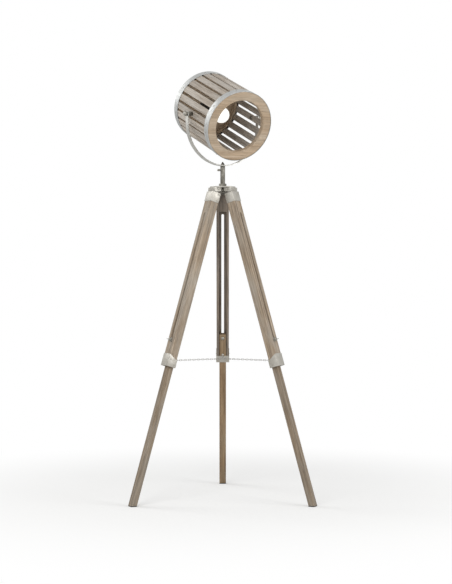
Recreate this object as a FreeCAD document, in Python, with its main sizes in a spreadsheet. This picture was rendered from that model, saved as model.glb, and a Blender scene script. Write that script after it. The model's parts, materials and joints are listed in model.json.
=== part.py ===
import FreeCAD, Part
import math
import os

import Sketcher
from FreeCAD import Placement, Rotation, Vector

# Tripod spotlight floor lamp: a slatted wooden drum shade in a flat-bar yoke, on a short pole,
# on three telescoping wooden legs that chains hold apart. Millimetres and degrees, +Z up,
# origin on the floor at the middle of the footprint, the rear leg towards +Y.

# ---------------------------------------------------------------- driving dimensions

SIZES = {
    # tripod
    "hinge_height": 1070.0,
    "hinge_radius": 31.0,
    "leg_splay": 16.8,
    # upper legs: grooved from the inner side, slotted through the outer wall
    "leg_width": 44.0,
    "leg_thickness": 30.0,
    "leg_ease": 1.2,
    "leg_end": 630.0,
    "groove_width": 28.0,
    "groove_depth": 20.5,
    "groove_start": 74.0,
    "slot_width": 9.0,
    "slot_start": 88.0,
    # lower legs slide in the grooves
    "slide_clearance": 0.25,
    "lower_width": 24.0,
    "leg_overlap": 102.0,
    "lock_drop": 14.0,
    "pad_thickness": 3.0,
    # leg caps and their hinge tongues
    "cap_sheet": 1.2,
    "cap_start": 12.0,
    "cap_end": 47.0,
    "tongue_radius": 5.5,
    "hinge_bolt_radius": 2.5,
    # collars at the bottom of the upper legs
    "collar_sheet": 1.5,
    "collar_length": 40.0,
    "collar_slope": 19.0,
    "collar_lip": 3.0,
    "screw_radius": 2.2,
    "screw_height": 1.2,
    "screw_outer": 9.0,
    "screw_inner": -8.0,
    "cap_screw_inset": 7.0,
    "collar_screw_high": 18.0,
    "collar_screw_low": 6.0,
    # slide bolts and wing nuts
    "slide_bolt_radius": 3.0,
    "slide_head_radius": 6.0,
    "slide_head_height": 3.5,
    "wing_flange_radius": 7.5,
    "wing_flange_height": 1.4,
    "wing_boss_height": 8.0,
    "wing_boss_foot": 3.2,
    "wing_boss_wall": 2.4,
    "wing_span": 11.0,
    "wing_thickness": 2.2,
    # chains
    "eye_from_end": 26.0,
    "eye_reach": 9.0,
    "eye_radius": 3.4,
    "eye_wire": 0.8,
    "ring_radius": 6.0,
    "ring_wire": 0.9,
    "link_wire": 1.3,
    "link_bore": 2.6,
    "link_play": 0.1,
    # hub
    "hub_radius": 45.0,
    "hub_plate": 4.0,
    "hub_wall": 3.0,
    "hub_house_width": 46.0,
    "hub_house_inner": 18.0,
    "hub_house_outer": 44.5,
    "hub_house_drop": 7.5,
    # pole
    "pole_radius": 8.3,
    "pole_bore": 6.6,
    "pole_below": 5.0,
    "stem_length": 50.0,
    "stem_shoulder": 3.0,
    "thumb_drop": 11.0,
    "thumb_radius": 3.8,
    "thumb_length": 9.0,
    "thumb_thread": 2.5,
    "nut_radius": 13.0,
    "nut_height": 8.0,
    "flange_radius": 13.5,
    "flange_height": 2.2,
    # yoke
    "pivot_rise": 255.0,
    "yoke_radius": 140.5,
    "yoke_drop": 33.0,
    "yoke_sheet": 3.0,
    "yoke_width": 18.0,
    "finial_radius": 6.5,
    "finial_height": 11.0,
    "finial_foot": 2.5,
    "finial_tip": 1.2,
    "finial_thread": 3.0,
    "finial_bite": 5.0,
    "pivot_bolt_radius": 3.0,
    "pivot_head_radius": 6.5,
    "pivot_head_height": 4.0,
    "spacer_radius": 7.0,
    "knob_radius": 8.5,
    "knob_length": 12.0,
    # shade
    "head_pan": 29.5,
    "head_tilt": 22.0,
    "shade_length": 264.0,
    "shade_radius": 120.3,
    "shade_set_back": 5.0,
    "slat_width": 22.0,
    "slat_thickness": 5.0,
    "slat_ease": 0.9,
    "ring_opening": 89.0,
    "ring_face": 12.0,
    "ring_edge": 4.0,
    "board_face": 10.0,
    "spigot_depth": 14.0,
    "spigot_wall": 8.0,
    "band_width": 24.5,
    "band_sheet": 1.2,
    # lamp
    "bulb_radius": 28.0,
    "bulb_set_back": 10.6,
    "bulb_neck_length": 49.0,
    "bulb_cap_radius": 13.2,
    "bulb_cap_length": 25.0,
    "holder_radius": 20.0,
    "holder_flange": 6.0,
    "gland_radius": 8.0,
    "gland_length": 12.0,
    "gland_thread": 5.0,
    # fits
    "running_fit": 0.1,
    "seat_gap": 0.2,
}
SLATS = 24
CHAIN_LINKS = 20
BAND_SCREWS = 8
LEGS = {"rear": 0.0, "left": 120.0, "right": 240.0}


class Size:
    """A size with its formula, so that an object can be bound to the sheet."""

    def __init__(self, value, formula):
        self.value = value
        self.formula = formula

    def __add__(self, other):
        other = as_size(other)
        return Size(self.value + other.value, f"({self.formula} + {other.formula})")

    def __sub__(self, other):
        other = as_size(other)
        return Size(self.value - other.value, f"({self.formula} - {other.formula})")

    def __mul__(self, other):
        other = as_size(other)
        return Size(self.value * other.value, f"({self.formula} * {other.formula})")

    def __truediv__(self, other):
        other = as_size(other)
        return Size(self.value / other.value, f"({self.formula} / {other.formula})")

    def __neg__(self):
        return Size(-self.value, f"(0 - {self.formula})")

    def __radd__(self, other):
        return as_size(other) + self

    def __rsub__(self, other):
        return as_size(other) - self

    def __rmul__(self, other):
        return as_size(other) * self

    def __float__(self):
        return float(self.value)


def as_size(value):
    return value if isinstance(value, Size) else Size(float(value), str(float(value)))


def sine(angle):
    return Size(math.sin(math.radians(angle.value)), f"sin({angle.formula})")


def cosine(angle):
    return Size(math.cos(math.radians(angle.value)), f"cos({angle.formula})")


def root(size):
    return Size(math.sqrt(size.value), f"sqrt({size.formula})")


doc = FreeCAD.newDocument("lamp")
sheet = doc.addObject("Spreadsheet::Sheet", "Sizes")
for row, (name, value) in enumerate(SIZES.items(), start=1):
    sheet.set(f"A{row}", name)
    sheet.set(f"B{row}", str(value))
    sheet.setAlias(f"B{row}", name)
doc.recompute()


class Dimensions:
    """Each driving dimension by its name, bound to its cell."""

    def __getattr__(self, name):
        return Size(float(SIZES[name]), f"Sizes.{name}")


d = Dimensions()
pieces = {}


# ---------------------------------------------------------------- ways to make a piece


def new_body(label, placement):
    """An empty body that will hold one solid piece."""
    body = doc.addObject("PartDesign::Body", label)
    body.Label = label
    body.Placement = placement
    pieces[label] = body
    return body


def new_sketch(body, role, start):
    """A sketch on one of the body's own planes, lifted by start along the plane's normal."""
    plane = next(f for f in body.Origin.OriginFeatures if f.Role == role)
    sketch = body.newObject("Sketcher::SketchObject", "Outline")
    sketch.AttachmentSupport = [(plane, "")]
    sketch.MapMode = "FlatFace"
    sketch.setExpression("AttachmentOffset.Base.z", as_size(start).formula)
    return sketch


def place_point(sketch, geometry, point, corner):
    """Holds a point of the sketch at its distances from the origin."""
    for coordinate, axis, kind in ((corner[0], -2, "DistanceX"), (corner[1], -1, "DistanceY")):
        coordinate = as_size(coordinate)
        if coordinate.value == 0:
            sketch.addConstraint(Sketcher.Constraint("PointOnObject", geometry, point, axis))
            continue
        index = sketch.addConstraint(
            Sketcher.Constraint(kind, -1, 1, geometry, point, coordinate.value)
        )
        sketch.setExpression(f"Constraints[{index}]", coordinate.formula)


def polygon(sketch, corners):
    """A closed outline of straight lines."""
    at = [Vector(float(x), float(y), 0) for x, y in corners]
    count = len(at)
    for i in range(count):
        sketch.addGeometry(Part.LineSegment(at[i], at[(i + 1) % count]))
    for i in range(count):
        sketch.addConstraint(Sketcher.Constraint("Coincident", i, 2, (i + 1) % count, 1))
    for i in range(count):
        place_point(sketch, i, 1, corners[i])


def circle(sketch, centre, radius):
    """A full circle."""
    middle = Vector(float(centre[0]), float(centre[1]), 0)
    sketch.addGeometry(Part.Circle(middle, Vector(0, 0, 1), float(radius)))
    place_point(sketch, 0, 3, centre)
    index = sketch.addConstraint(Sketcher.Constraint("Radius", 0, float(radius)))
    sketch.setExpression(f"Constraints[{index}]", as_size(radius).formula)


def box_outline(low_x, low_y, high_x, high_y):
    return [(low_x, low_y), (high_x, low_y), (high_x, high_y), (low_x, high_y)]


def eased_outline(low_x, low_y, high_x, high_y, ease):
    """A rectangle whose four corners are cut off by ease."""
    return [
        (low_x + ease, low_y), (high_x - ease, low_y),
        (high_x, low_y + ease), (high_x, high_y - ease),
        (high_x - ease, high_y), (low_x + ease, high_y),
        (low_x, high_y - ease), (low_x, low_y + ease),
    ]


def hexagon(radius):
    """A hexagon by its corner radius."""
    half = radius / 2
    flat = radius * math.sqrt(0.75)
    return [(radius, 0), (half, flat), (-half, flat), (-radius, 0), (-half, -flat), (half, -flat)]


def draw(sketch, outline):
    """An outline is a list of corners, or a centre and a radius."""
    if isinstance(outline, list):
        polygon(sketch, outline)
    else:
        circle(sketch, *outline)


def pad(body, role, outline, start, end):
    """Adds the outline, swept from start to end along the plane's normal."""
    sketch = new_sketch(body, role, start)
    draw(sketch, outline)
    feature = body.newObject("PartDesign::Pad", "Pad")
    feature.Profile = sketch
    feature.setExpression("Length", (as_size(end) - as_size(start)).formula)
    doc.recompute()
    return feature


def pocket(body, role, outline, start, end):
    """Cuts the outline away from start to end along the plane's normal."""
    before = body.Shape.Volume
    sketch = new_sketch(body, role, start)
    draw(sketch, outline)
    feature = body.newObject("PartDesign::Pocket", "Pocket")
    feature.Profile = sketch
    feature.Reversed = True
    feature.setExpression("Length", (as_size(end) - as_size(start)).formula)
    doc.recompute()
    if body.Shape.Volume >= before - 1e-6:
        raise RuntimeError(f"{body.Label}: a pocket cuts nothing")
    return feature


def turned(label, placement, profile):
    """A piece turned about its own Z: profile corners are (radius, height)."""
    body = new_body(label, placement)
    sketch = new_sketch(body, "XZ_Plane", 0)
    polygon(sketch, profile)
    feature = body.newObject("PartDesign::Revolution", "Turning")
    feature.Profile = sketch
    feature.ReferenceAxis = (sketch, ["V_Axis"])
    feature.Angle = 360.0
    doc.recompute()
    return body


def group(label, placement, solids):
    """Several alike solids of one kind of piece, such as a set of screws."""
    feature = doc.addObject("Part::Feature", label)
    feature.Label = label
    feature.Shape = Part.makeCompound(solids)
    feature.Placement = placement
    pieces[label] = feature
    return feature


def moved(x, y, z, axis=Vector(0, 0, 1), angle=0.0):
    return Placement(Vector(float(x), float(y), float(z)), Rotation(axis, float(angle)))


X_AXIS, Y_AXIS, Z_AXIS = Vector(1, 0, 0), Vector(0, 1, 0), Vector(0, 0, 1)
PAST = 1.0  # how far a cut runs past the face it opens


# ---------------------------------------------------------------- frames

# In a leg's own frame the origin is on its hinge, +Z runs up the leg and +Y points outwards.
inner_face = -(d.leg_thickness / 2)
outer_face = d.leg_thickness / 2
groove_floor = inner_face + d.groove_depth
lower_inner = inner_face + d.slide_clearance
lower_outer = groove_floor - d.slide_clearance
splay_sine = sine(d.leg_splay)
splay_cosine = cosine(d.leg_splay)
lower_start = d.leg_end - d.leg_overlap
lock_along = lower_start + d.lock_drop
collar_start = d.leg_end - d.collar_length
eye_along_leg = d.leg_end - d.eye_from_end

lower_middle = (lower_inner + lower_outer) / 2
foot_along = (d.hinge_height - d.pad_thickness + lower_middle * splay_sine) / splay_cosine
foot_radius = d.hinge_radius + foot_along * splay_sine + lower_middle * splay_cosine
foot_reach = float(foot_radius + (lower_outer - lower_inner) / splay_cosine / 2)
front_reach = foot_reach / 2 + float(d.lower_width) / 2 * math.cos(math.radians(30))
axis_y = (front_reach - foot_reach) / 2

lamp_axis = moved(0, axis_y, 0)
hub_frame = lamp_axis.multiply(moved(0, 0, d.hinge_height))
yoke_frame = lamp_axis.multiply(moved(0, 0, d.hinge_height + d.pivot_rise, Z_AXIS, d.head_pan))
head_frame = yoke_frame.multiply(moved(0, 0, 0, X_AXIS, 90 + d.head_tilt.value))


def leg_frame(turn):
    around = lamp_axis.multiply(moved(0, 0, 0, Z_AXIS, turn))
    return around.multiply(moved(0, d.hinge_radius, d.hinge_height, X_AXIS, d.leg_splay))


# ---------------------------------------------------------------- legs


def leg_cap(label, frame):
    """Folded cap over the leg's top, open on the inner side, with the hinge tongue above it."""
    half = d.leg_width / 2
    body = new_body(label, frame)
    outside = box_outline(-half - d.cap_sheet, inner_face, half + d.cap_sheet,
                          outer_face + d.cap_sheet)
    pad(body, "XY_Plane", outside, -d.cap_end, -d.cap_start)
    inside = box_outline(-half, inner_face - PAST, half, outer_face)
    pocket(body, "XY_Plane", inside, -d.cap_end - PAST, -d.cap_start - d.cap_sheet)
    reach = d.hub_house_width / 2 - d.hub_wall - 0.5
    tongue = box_outline(-d.tongue_radius, -d.cap_start, d.tongue_radius, 0)
    pad(body, "YZ_Plane", tongue, -reach, reach)
    pad(body, "YZ_Plane", ((0, 0), d.tongue_radius), -reach, reach)
    pocket(body, "YZ_Plane", ((0, 0), d.hinge_bolt_radius + d.running_fit),
           -reach - PAST, reach + PAST)


def upper_leg(label, frame):
    """Grooved and slotted wooden upper leg with eased edges."""
    half = d.leg_width / 2
    body = new_body(label, frame)
    section = eased_outline(-half, inner_face, half, outer_face, d.leg_ease)
    pad(body, "XY_Plane", section, -d.leg_end, -d.cap_start - d.cap_sheet)
    groove = box_outline(-d.groove_width / 2, inner_face - PAST, d.groove_width / 2, groove_floor)
    pocket(body, "XY_Plane", groove, -d.leg_end - PAST, -d.groove_start)
    # the XZ plane faces -Y, so a cut through the outer wall runs from -outer_face
    slot_half = d.slot_width / 2
    top, bottom = -d.slot_start - slot_half, -lock_along - PAST
    through = (-outer_face - PAST, -groove_floor + PAST)
    pocket(body, "XZ_Plane", box_outline(-slot_half, bottom, slot_half, top), *through)
    pocket(body, "XZ_Plane", ((0, top), slot_half), *through)
    pocket(body, "XZ_Plane", ((0, bottom), slot_half), *through)


def floor_cut(y, height):
    """Where a horizontal plane at this height above the floor meets the leg at depth y."""
    return -(d.hinge_height - height + y * splay_sine) / splay_cosine


def lower_leg(label, frame):
    """Sliding lower leg, its foot cut level."""
    body = new_body(label, frame)
    side = [
        (lower_inner, -lower_start), (lower_inner, floor_cut(lower_inner, d.pad_thickness)),
        (lower_outer, floor_cut(lower_outer, d.pad_thickness)), (lower_outer, -lower_start),
    ]
    pad(body, "YZ_Plane", side, -d.lower_width / 2, d.lower_width / 2)
    hole = ((0, -lock_along), d.slide_bolt_radius + d.running_fit / 2)
    pocket(body, "XZ_Plane", hole, -lower_outer - PAST, -lower_inner + PAST)


def foot_pad(label, frame):
    """Level pad under the foot, with the foot's own outline."""
    body = new_body(label, frame)
    fall = (d.pad_thickness * splay_sine, d.pad_thickness * splay_cosine)
    top = [(y, floor_cut(y, d.pad_thickness)) for y in (lower_inner, lower_outer)]
    bottom = [(y - fall[0], z - fall[1]) for y, z in reversed(top)]
    pad(body, "YZ_Plane", top + bottom, -d.lower_width / 2, d.lower_width / 2)


def collar(label, frame):
    """Folded collar round the end of the upper leg, its top edge sloping down inwards."""
    half = d.leg_width / 2
    end = d.leg_end + d.collar_lip
    body = new_body(label, frame)
    side = [
        (inner_face - d.collar_sheet, -end), (outer_face + d.collar_sheet, -end),
        (outer_face + d.collar_sheet, -collar_start),
        (inner_face - d.collar_sheet, -collar_start - d.collar_slope),
    ]
    pad(body, "YZ_Plane", side, -half - d.collar_sheet, half + d.collar_sheet)
    inside = box_outline(-half, inner_face, half, outer_face)
    pocket(body, "XY_Plane", inside, -end - PAST, -collar_start + PAST)


def side_screws(label, frame, sheet_face, places):
    """Screw heads on both side faces, at (depth, distance along the leg)."""
    solids = []
    for side in (-1, 1):
        for depth, along in places:
            base = Vector(side * float(sheet_face), float(depth), -float(along))
            out = Vector(side, 0, 0)
            rim = float(d.screw_height) / 2
            head = Part.makeCylinder(float(d.screw_radius), rim, base, out)
            crown = Part.makeCone(float(d.screw_radius), float(d.screw_radius) * 0.6, rim,
                                  base + out * rim, out)
            solids.append(head.fuse(crown).removeSplitter())
    group(label, frame, solids)


def slide_bolt(label, frame):
    """Round-headed bolt through the lower leg and the slot."""
    end = outer_face - lower_inner + d.wing_boss_height
    head = d.slide_head_height
    profile = [
        (0, -head), (d.slide_head_radius * 0.55, -head), (d.slide_head_radius, -head * 0.4),
        (d.slide_head_radius, 0), (d.slide_bolt_radius, 0), (d.slide_bolt_radius, end), (0, end),
    ]
    turned(label, frame.multiply(moved(0, lower_inner, -lock_along, X_AXIS, -90)), profile)


def wing_nut(label, frame):
    """Flanged wing nut that clamps the lower leg, on the outer face."""
    bore = d.slide_bolt_radius + d.running_fit
    profile = [
        (bore, 0), (d.wing_flange_radius, 0), (d.wing_flange_radius, d.wing_flange_height),
        (bore + d.wing_boss_foot, d.wing_flange_height + 1),
        (bore + d.wing_boss_wall, d.wing_boss_height), (bore, d.wing_boss_height),
    ]
    place = frame.multiply(moved(0, outer_face + d.seat_gap, -lock_along, X_AXIS, -90))
    body = turned(label, place, profile)
    # two upright wings on the sides of the boss
    for side in (-1, 1):
        wing = [
            (side * (bore + 1.5), 2.2), (side * (bore + 3.5), 2.2),
            (side * d.wing_span, 7), (side * d.wing_span, 12),
            (side * (d.wing_span - 3), 13), (side * (bore + 1.5), 7.2),
        ]
        pad(body, "XZ_Plane", wing, -d.wing_thickness / 2, d.wing_thickness / 2)


# ---------------------------------------------------------------- chains

eye_depth = inner_face - d.collar_sheet - d.eye_reach
eye_from_axis = float(d.hinge_radius + eye_along_leg * splay_sine + eye_depth * splay_cosine)
eye_height = float(d.hinge_height - eye_along_leg * splay_cosine + eye_depth * splay_sine)


def chain_eye(label, frame):
    """Eye on the collar's inner face, which the chain hooks into."""
    strap = inner_face - d.collar_sheet
    out = -Y_AXIS
    base = Vector(0, float(strap), -float(eye_along_leg))
    foot = Part.makeCone(4.2, 2.0, 1.8, base, out)
    neck_length = float(d.eye_reach - d.eye_radius)
    neck = Part.makeCylinder(1.4, neck_length, base, out)
    middle = base + out * float(d.eye_reach)
    ring = Part.makeTorus(float(d.eye_radius), float(d.eye_wire), middle, X_AXIS)
    group(label, frame, [foot.fuse(neck).fuse(ring).removeSplitter()])


def link(length, width, wire):
    """One link of square wire: an eight-cornered loop with its hole along X, lying flat."""

    def loop(half_length, half_width, cut):
        corners = [
            (half_length - cut, half_width), (half_length, half_width - cut),
            (half_length, cut - half_width), (half_length - cut, -half_width),
            (cut - half_length, -half_width), (-half_length, cut - half_width),
            (-half_length, half_width - cut), (cut - half_length, half_width),
        ]
        points = [Vector(x, y, -wire / 2) for x, y in corners]
        return Part.Face(Part.makePolygon(points + points[:1])).extrude(Vector(0, 0, wire))

    hole_cut = width * 0.25
    outer = loop(length / 2 + wire, width / 2 + wire, hole_cut + wire * 0.59)
    inner = loop(length / 2, width / 2, hole_cut)
    return outer.cut(inner)


# a chain's own frame: the origin on its eye, +X towards the lamp's axis, +Z up
chain_from = float(d.eye_radius - d.eye_wire) - 0.15
chain_to = eye_from_axis - float(d.ring_radius - d.ring_wire) + 0.15
link_pitch = (chain_to - chain_from - float(d.link_wire + d.link_play)) / CHAIN_LINKS
link_length = link_pitch + float(d.link_wire + d.link_play)


def chain_frame(turn):
    around = lamp_axis.multiply(moved(0, 0, 0, Z_AXIS, turn))
    return around.multiply(moved(0, eye_from_axis, eye_height, Z_AXIS, -90))


def chain(label, turn):
    """Taut chain from the eye to the middle ring, every other link on edge."""
    solids = []
    for i in range(CHAIN_LINKS):
        one = link(link_length, float(d.link_bore), float(d.link_wire))
        middle = chain_from + link_length / 2 + i * link_pitch
        one.Placement = moved(middle, 0, 0, X_AXIS, 90 * (i % 2))
        solids.append(one)
    group(label, chain_frame(turn), solids)


def middle_ring():
    """Small ring that the three chains meet in."""
    ring = Part.makeTorus(float(d.ring_radius), float(d.ring_wire))
    group("chain_ring", lamp_axis.multiply(moved(0, 0, eye_height)), [ring])


# ---------------------------------------------------------------- hub and pole

# Heights in the hub's frame are from the hinge line; the plate lies above the leg houses.
plate_low = d.tongue_radius + 0.5
plate_top = plate_low + d.hub_plate


def hub():
    """Cast hub: a round plate over three hollow houses that the legs hinge in."""
    edge = 1.2
    profile = [
        (d.pole_radius + d.running_fit, plate_low), (d.hub_radius, plate_low),
        (d.hub_radius, plate_top - edge), (d.hub_radius - edge, plate_top),
        (d.pole_radius + d.running_fit, plate_top),
    ]
    body = turned("hub", hub_frame, profile)
    half = d.hub_house_width / 2
    house = box_outline(-half, d.hub_house_inner, half, d.hub_house_outer)
    features = [pad(body, "XY_Plane", house, -d.hub_house_drop, plate_low)]
    hollow = box_outline(-half + d.hub_wall, d.hub_house_inner - PAST,
                         half - d.hub_wall, d.hub_house_outer - d.hub_wall)
    features.append(pocket(body, "XY_Plane", hollow, -d.hub_house_drop - PAST, plate_low))
    pin = ((d.hinge_radius, 0), d.hinge_bolt_radius + d.running_fit / 2)
    features.append(pocket(body, "YZ_Plane", pin, -half - PAST, half + PAST))
    pattern = body.newObject("PartDesign::PolarPattern", "Houses")
    pattern.Originals = features
    axis = next(f for f in body.Origin.OriginFeatures if f.Role == "Z_Axis")
    pattern.Axis = (axis, [""])
    pattern.Angle = 360.0
    pattern.Occurrences = len(LEGS)
    body.Tip = pattern
    doc.recompute()


def hinge_bolts():
    """Three hinge bolts with round heads, and the cap nuts on their far ends."""
    reach = float(d.hub_house_width) / 2
    radius = float(d.hinge_bolt_radius)
    head_radius, head_height, nut_height = radius * 1.8, 2.6, 3.6
    bolts, nuts = [], []
    for turn in LEGS.values():
        place = moved(0, 0, 0, Z_AXIS, turn).multiply(moved(0, d.hinge_radius, 0))
        shank = Part.makeCylinder(radius, 2 * reach + nut_height, Vector(-reach, 0, 0), X_AXIS)
        head = Part.makeCone(head_radius, head_radius * 0.6, head_height,
                             Vector(-reach, 0, 0), -X_AXIS)
        bolt = shank.fuse(head).removeSplitter()
        blank = Part.makeCone(head_radius, head_radius * 0.7, nut_height + 1.4,
                              Vector(reach, 0, 0), X_AXIS)
        thread = Part.makeCylinder(radius + float(d.running_fit) / 2, nut_height + 0.2,
                                   Vector(reach, 0, 0), X_AXIS)
        nut = blank.cut(thread)
        bolt.Placement = place
        nut.Placement = place
        bolts.append(bolt)
        nuts.append(nut)
    group("hinge_bolts", hub_frame, bolts)
    group("hinge_nuts", hub_frame, nuts)


pole_foot = plate_low - d.nut_height - d.pole_below
strip_low = d.pivot_rise - d.yoke_drop - d.yoke_radius
pole_top = strip_low - d.stem_shoulder - d.seat_gap


def pole():
    """Short tube through the hub's plate, with the thumbscrew's hole near its top."""
    edge = 0.8
    profile = [
        (d.pole_bore, pole_foot), (d.pole_radius, pole_foot), (d.pole_radius, pole_top - edge),
        (d.pole_radius - edge, pole_top), (d.pole_bore, pole_top),
    ]
    body = turned("pole_tube", hub_frame, profile)
    hole = ((0, pole_top - d.thumb_drop), d.thumb_thread + d.running_fit)
    pocket(body, "YZ_Plane", hole, -d.pole_radius - PAST, 0)


def pole_nuts():
    """Flanged hexagon nut on the plate and a plain one under it, both on the tube."""
    bore = d.pole_radius + d.running_fit / 2
    above = new_body("flange_nut", hub_frame)
    pad(above, "XY_Plane", ((0, 0), d.flange_radius), plate_top, plate_top + d.flange_height)
    top = plate_top + d.flange_height + d.nut_height
    pad(above, "XY_Plane", hexagon(d.nut_radius), plate_top + d.flange_height, top)
    pocket(above, "XY_Plane", ((0, 0), bore), plate_top - PAST, top + PAST)
    below = new_body("lock_nut", hub_frame)
    low = plate_low - d.nut_height
    pad(below, "XY_Plane", hexagon(d.nut_radius), low, plate_low)
    pocket(below, "XY_Plane", ((0, 0), bore), low - PAST, plate_low + PAST)


def thumbscrew():
    """Thumbscrew that clamps the stem, its ribbed head on the left."""
    tip = d.pole_bore + 0.3
    neck = d.pole_radius + 1.4
    head = neck + d.thumb_length
    profile = [
        (0, tip), (d.thumb_thread, tip), (d.thumb_thread, neck), (d.thumb_radius, neck),
        (d.thumb_radius, head - 1.2), (d.thumb_radius - 1.2, head), (0, head),
    ]
    place = hub_frame.multiply(moved(0, 0, pole_top - d.thumb_drop, Y_AXIS, -90))
    body = turned("thumbscrew", place, profile)
    ribs = 12
    groove = ((d.thumb_radius, 0), 0.55)
    cut = pocket(body, "XY_Plane", groove, neck - 0.1, head + PAST)
    pattern = body.newObject("PartDesign::PolarPattern", "Ribs")
    pattern.Originals = [cut]
    axis = next(f for f in body.Origin.OriginFeatures if f.Role == "Z_Axis")
    pattern.Axis = (axis, [""])
    pattern.Angle = 360.0
    pattern.Occurrences = ribs
    body.Tip = pattern
    doc.recompute()


# ---------------------------------------------------------------- yoke


def yoke_stem():
    """Stem that turns in the pole, with a shoulder under the yoke and a stud through it."""
    top = strip_low + d.yoke_sheet + d.finial_bite
    stem = d.pole_bore - d.running_fit
    profile = [
        (0, pole_top - d.stem_length), (stem, pole_top - d.stem_length),
        (stem, pole_top), (stem, pole_top + d.seat_gap), (d.pole_radius, pole_top + d.seat_gap),
        (d.pole_radius, strip_low), (d.finial_thread, strip_low), (d.finial_thread, top), (0, top),
    ]
    turned("yoke_stem", hub_frame.multiply(moved(0, 0, 0, Z_AXIS, d.head_pan)), profile)


def finial_nut():
    """Conical nut that holds the yoke on its stem; its foot spans the bar's curve."""
    inner = d.yoke_radius - d.yoke_sheet
    rise = inner - root(inner * inner - d.finial_radius * d.finial_radius)
    seat = strip_low + d.yoke_sheet + rise
    top = seat + d.finial_height
    bore = d.finial_thread + d.running_fit / 2
    roof = strip_low + d.yoke_sheet + d.finial_bite + d.seat_gap
    profile = [
        (bore, seat), (d.finial_radius, seat), (d.finial_radius, seat + d.finial_foot),
        (d.finial_tip, top), (0, top), (0, roof), (bore, roof),
    ]
    turned("finial_nut", hub_frame.multiply(moved(0, 0, 0, Z_AXIS, d.head_pan)), profile)


def yoke():
    """Flat bar bent to a half round with two straight arms, rounded at the pivots."""
    half = d.yoke_width / 2
    inner = d.yoke_radius - d.yoke_sheet
    body = new_body("yoke", yoke_frame)
    pad(body, "XZ_Plane", ((0, -d.yoke_drop), d.yoke_radius), -half, half)
    above = box_outline(-d.yoke_radius - PAST, -d.yoke_drop, d.yoke_radius + PAST, d.yoke_radius)
    pocket(body, "XZ_Plane", above, -half - PAST, half + PAST)
    pad(body, "XZ_Plane", box_outline(-d.yoke_radius, -d.yoke_drop, d.yoke_radius, 0), -half, half)
    pocket(body, "XZ_Plane", ((0, -d.yoke_drop), inner), -half - PAST, half + PAST)
    hollow = box_outline(-inner, -d.yoke_drop, inner, PAST)
    pocket(body, "XZ_Plane", hollow, -half - PAST, half + PAST)
    hole = d.pivot_bolt_radius + d.running_fit
    for low, high in ((-d.yoke_radius, -inner), (inner, d.yoke_radius)):
        pad(body, "YZ_Plane", ((0, 0), half), low, high)
        pocket(body, "YZ_Plane", ((0, 0), hole), low - PAST, high + PAST)
    stud = ((0, 0), d.finial_thread + d.running_fit / 2)
    bottom = -d.yoke_drop - d.yoke_radius
    pocket(body, "XY_Plane", stud, bottom - PAST, bottom + d.yoke_sheet + PAST)


# ---------------------------------------------------------------- pivots

# along the pivot axis, outwards from the shade's middle
slat_corner = d.slat_width / 2
slat_outside = root(d.shade_radius * d.shade_radius - slat_corner * slat_corner)
slat_inside = slat_outside - d.slat_thickness
arm_inside = d.yoke_radius - d.yoke_sheet
knob_low = d.yoke_radius + d.seat_gap


def along_pivot(side):
    return head_frame.multiply(moved(0, 0, 0, Y_AXIS, 90 * side))


def pivots():
    """On each side a bolt, a spacer between slat and arm, and a turning knob."""
    bore = d.pivot_bolt_radius + d.running_fit
    for name, side in (("left", -1), ("right", 1)):
        place = along_pivot(side)
        head_low = slat_inside - d.pivot_head_height
        bolt_end = knob_low + d.knob_length * 0.7
        bolt = [
            (0, head_low), (d.pivot_head_radius - 1, head_low),
            (d.pivot_head_radius, head_low + 1), (d.pivot_head_radius, slat_inside),
            (d.pivot_bolt_radius, slat_inside), (d.pivot_bolt_radius, bolt_end), (0, bolt_end),
        ]
        turned(f"pivot_bolt_{name}", place, bolt)
        spacer_end = arm_inside - d.seat_gap
        spacer = [
            (bore, slat_outside), (d.spacer_radius, slat_outside),
            (d.spacer_radius, spacer_end), (bore, spacer_end),
        ]
        turned(f"pivot_spacer_{name}", place, spacer)
        knob_end = knob_low + d.knob_length
        depth = d.knob_length * 0.7 + 0.3
        knob = [
            (bore, knob_low), (d.knob_radius - 1.5, knob_low), (d.knob_radius, knob_low + 2),
            (d.knob_radius, knob_end - 3), (d.knob_radius - 2.5, knob_end), (0, knob_end),
            (0, knob_low + depth), (bore, knob_low + depth),
        ]
        turned(f"pivot_knob_{name}", place, knob)


# ---------------------------------------------------------------- shade

front = d.shade_length / 2 - d.shade_set_back
back = front - d.shade_length
slat_front = front - d.ring_face
slat_back = back + d.board_face
spigot_radius = slat_inside - 0.04


def front_ring():
    """Turned front ring: a rounded face, and a spigot that the slats are fixed to."""
    e = d.ring_edge
    profile = [
        (d.ring_opening, slat_front - d.spigot_depth * 0.3), (d.ring_opening, front - e),
        (d.ring_opening + e * 0.3, front - e * 0.3), (d.ring_opening + e, front),
        (d.shade_radius - e, front), (d.shade_radius - e * 0.3, front - e * 0.3),
        (d.shade_radius, front - e), (d.shade_radius, slat_front),
        (spigot_radius, slat_front), (spigot_radius, slat_front - d.spigot_depth),
        (spigot_radius - d.spigot_wall, slat_front - d.spigot_depth),
        (spigot_radius - d.spigot_wall, slat_front - d.spigot_depth * 0.3),
    ]
    turned("front_ring", head_frame, profile)


def rear_board():
    """Turned board that closes the shade's back, with a spigot rim like the ring's."""
    edge = 2.0
    hole = d.gland_thread + d.running_fit
    rim = spigot_radius - d.spigot_wall
    profile = [
        (hole, back), (d.shade_radius - edge, back), (d.shade_radius, back + edge),
        (d.shade_radius, slat_back), (spigot_radius, slat_back),
        (spigot_radius, slat_back + d.spigot_depth), (rim, slat_back + d.spigot_depth),
        (rim, slat_back), (hole, slat_back),
    ]
    turned("rear_board", head_frame, profile)


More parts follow.
